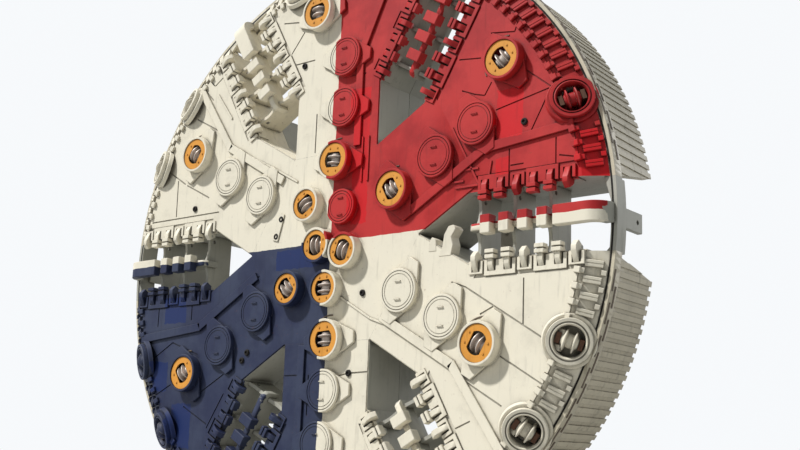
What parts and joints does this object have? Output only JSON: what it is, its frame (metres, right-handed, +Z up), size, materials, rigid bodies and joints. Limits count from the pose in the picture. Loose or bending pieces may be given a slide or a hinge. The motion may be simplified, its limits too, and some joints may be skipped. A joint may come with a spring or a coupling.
{
  "type": "tunnel boring machine cutterhead",
  "caption": "Wheel-shaped cutting head of a soft ground tunnel boring machine: arms, muck slots, turning twin-disc cutters, scrapers and a bolted drive flange.",
  "frame": {"origin": "centre of the drive flange's rear face, where the head bolts to the main drive", "axes": "+Y along the turning axis from the cutting face to the drive, +Z up, +X to the right seen from the front"},
  "size_m": [13.4996, 3.298, 13.4996],
  "materials": {
    "white_paint": "weathered gloss paint",
    "red_paint": "weathered gloss paint",
    "blue_paint": "weathered gloss paint",
    "amber_paint": "gloss paint",
    "grey_paint": "matt primer",
    "cutter_steel": "forged and rusted",
    "machined_steel": "machined, oiled"
  },
  "bodies": {
    "cutterhead": {"centre_block": "white_paint", "arm_30": "red_paint", "arm_90": "white_paint", "arm_150": "white_paint", "arm_210": "blue_paint", "arm_270": "blue_paint", "arm_330": "white_paint", "rim_30": "white_paint", "rim_90": "white_paint", "rim_150": "white_paint", "rim_210": "white_paint", "rim_270": "white_paint", "rim_330": "white_paint", "slot_frame_0": "grey_paint", "slot_frame_60": "grey_paint", "slot_frame_120": "grey_paint", "slot_frame_180": "grey_paint", "slot_frame_240": "grey_paint", "slot_frame_300": "grey_paint", "scraper_rails": "white_paint", "face_housings": "white_paint", "gauge_housings": "white_paint", "guard_rings": "amber_paint", "blank_covers": "white_paint", "cutter_posts": "cutter_steel", "legs": "white_paint", "drive_flange": "machined_steel", "hub_drum": "grey_paint", "mixing_bars": "white_paint", "lifting_lugs": "white_paint"},
    "face_cutter_1": {"face_cutter_1": "cutter_steel"},
    "face_cutter_2": {"face_cutter_2": "cutter_steel"},
    "face_cutter_3": {"face_cutter_3": "cutter_steel"},
    "face_cutter_4": {"face_cutter_4": "cutter_steel"},
    "face_cutter_5": {"face_cutter_5": "cutter_steel"},
    "face_cutter_6": {"face_cutter_6": "cutter_steel"},
    "face_cutter_7": {"face_cutter_7": "cutter_steel"},
    "face_cutter_8": {"face_cutter_8": "cutter_steel"},
    "face_cutter_9": {"face_cutter_9": "cutter_steel"},
    "face_cutter_10": {"face_cutter_10": "cutter_steel"},
    "face_cutter_11": {"face_cutter_11": "cutter_steel"},
    "face_cutter_12": {"face_cutter_12": "cutter_steel"},
    "face_cutter_13": {"face_cutter_13": "cutter_steel"},
    "face_cutter_14": {"face_cutter_14": "cutter_steel"},
    "gauge_cutter_1": {"gauge_cutter_1": "cutter_steel"},
    "gauge_cutter_2": {"gauge_cutter_2": "cutter_steel"},
    "gauge_cutter_3": {"gauge_cutter_3": "cutter_steel"},
    "gauge_cutter_4": {"gauge_cutter_4": "cutter_steel"},
    "gauge_cutter_5": {"gauge_cutter_5": "cutter_steel"},
    "gauge_cutter_6": {"gauge_cutter_6": "cutter_steel"},
    "gauge_cutter_7": {"gauge_cutter_7": "cutter_steel"},
    "gauge_cutter_8": {"gauge_cutter_8": "cutter_steel"},
    "gauge_cutter_9": {"gauge_cutter_9": "cutter_steel"},
    "gauge_cutter_10": {"gauge_cutter_10": "cutter_steel"},
    "gauge_cutter_11": {"gauge_cutter_11": "cutter_steel"}
  },
  "joints": [
    {"name": "face_cutter_1_spin", "type": "hinge", "parent": "cutterhead", "child": "face_cutter_1", "pos_m": [-0.56, -3.082, 5.41], "axis": [-0.103, 0, 0.9947], "continuous": true},
    {"name": "face_cutter_2_spin", "type": "hinge", "parent": "cutterhead", "child": "face_cutter_2", "pos_m": [-4.36, -3.082, 2.63], "axis": [-0.8563, 0, 0.5165], "continuous": true},
    {"name": "face_cutter_3_spin", "type": "hinge", "parent": "cutterhead", "child": "face_cutter_3", "pos_m": [0.14, -3.082, 1.84], "axis": [0.0759, 0, 0.9971], "continuous": true},
    {"name": "face_cutter_4_spin", "type": "hinge", "parent": "cutterhead", "child": "face_cutter_4", "pos_m": [-0.62, -3.082, 0.94], "axis": [-0.5506, 0, 0.8348], "continuous": true},
    {"name": "face_cutter_5_spin", "type": "hinge", "parent": "cutterhead", "child": "face_cutter_5", "pos_m": [-0.26, -3.082, 0], "axis": [-1, 0, 0], "continuous": true},
    {"name": "face_cutter_6_spin", "type": "hinge", "parent": "cutterhead", "child": "face_cutter_6", "pos_m": [0.52, -3.082, -0.18], "axis": [0.945, 0, -0.3271], "continuous": true},
    {"name": "face_cutter_7_spin", "type": "hinge", "parent": "cutterhead", "child": "face_cutter_7", "pos_m": [-1.06, -3.082, -0.88], "axis": [-0.7694, 0, -0.6388], "continuous": true},
    {"name": "face_cutter_8_spin", "type": "hinge", "parent": "cutterhead", "child": "face_cutter_8", "pos_m": [0.04, -3.082, -0.95], "axis": [0.0421, 0, -0.9991], "continuous": true},
    {"name": "face_cutter_9_spin", "type": "hinge", "parent": "cutterhead", "child": "face_cutter_9", "pos_m": [1.78, -3.082, 0.98], "axis": [0.876, 0, 0.4823], "continuous": true},
    {"name": "face_cutter_10_spin", "type": "hinge", "parent": "cutterhead", "child": "face_cutter_10", "pos_m": [4.47, -3.082, 3.27], "axis": [0.8071, 0, 0.5904], "continuous": true},
    {"name": "face_cutter_11_spin", "type": "hinge", "parent": "cutterhead", "child": "face_cutter_11", "pos_m": [4.03, -3.082, -2.31], "axis": [0.8676, 0, -0.4973], "continuous": true},
    {"name": "face_cutter_12_spin", "type": "hinge", "parent": "cutterhead", "child": "face_cutter_12", "pos_m": [-4.24, -3.082, -2.61], "axis": [-0.8516, 0, -0.5242], "continuous": true},
    {"name": "face_cutter_13_spin", "type": "hinge", "parent": "cutterhead", "child": "face_cutter_13", "pos_m": [-0.15, -3.082, -5.25], "axis": [-0.0286, 0, -0.9996], "continuous": true},
    {"name": "face_cutter_14_spin", "type": "hinge", "parent": "cutterhead", "child": "face_cutter_14", "pos_m": [0.12, -3.082, -2.04], "axis": [0.0587, 0, -0.9983], "continuous": true},
    {"name": "gauge_cutter_1_spin", "type": "hinge", "parent": "cutterhead", "child": "gauge_cutter_1", "pos_m": [5.91293, -2.93356, 2.23431], "axis": [0.8133, 0.494, 0.3073], "continuous": true},
    {"name": "gauge_cutter_2_spin", "type": "hinge", "parent": "cutterhead", "child": "gauge_cutter_2", "pos_m": [1.2061, -2.93356, 6.20485], "axis": [0.1659, 0.494, 0.8535], "continuous": true},
    {"name": "gauge_cutter_3_spin", "type": "hinge", "parent": "cutterhead", "child": "gauge_cutter_3", "pos_m": [-1.31421, -2.93356, 6.18286], "axis": [-0.1808, 0.494, 0.8505], "continuous": true},
    {"name": "gauge_cutter_4_spin", "type": "hinge", "parent": "cutterhead", "child": "gauge_cutter_4", "pos_m": [-4.88444, -2.93356, 4.01212], "axis": [-0.6719, 0.494, 0.5519], "continuous": true},
    {"name": "gauge_cutter_5_spin", "type": "hinge", "parent": "cutterhead", "child": "gauge_cutter_5", "pos_m": [-5.79232, -2.93356, 2.5306], "axis": [-0.7967, 0.494, 0.3481], "continuous": true},
    {"name": "gauge_cutter_6_spin", "type": "hinge", "parent": "cutterhead", "child": "gauge_cutter_6", "pos_m": [-5.9051, -2.93356, -2.25494], "axis": [-0.8123, 0.494, -0.3102], "continuous": true},
    {"name": "gauge_cutter_7_spin", "type": "hinge", "parent": "cutterhead", "child": "gauge_cutter_7", "pos_m": [-4.99456, -2.93356, -3.87418], "axis": [-0.687, 0.494, -0.5329], "continuous": true},
    {"name": "gauge_cutter_8_spin", "type": "hinge", "parent": "cutterhead", "child": "gauge_cutter_8", "pos_m": [-0.87971, -2.93356, -6.25947], "axis": [-0.121, 0.494, -0.861], "continuous": true},
    {"name": "gauge_cutter_9_spin", "type": "hinge", "parent": "cutterhead", "child": "gauge_cutter_9", "pos_m": [0.98882, -2.93356, -6.24317], "axis": [0.136, 0.494, -0.8588], "continuous": true},
    {"name": "gauge_cutter_10_spin", "type": "hinge", "parent": "cutterhead", "child": "gauge_cutter_10", "pos_m": [4.96739, -2.93356, -3.90895], "axis": [0.6833, 0.494, -0.5377], "continuous": true},
    {"name": "gauge_cutter_11_spin", "type": "hinge", "parent": "cutterhead", "child": "gauge_cutter_11", "pos_m": [5.87711, -2.93356, -2.32691], "axis": [0.8084, 0.494, -0.3201], "continuous": true}
  ]
}
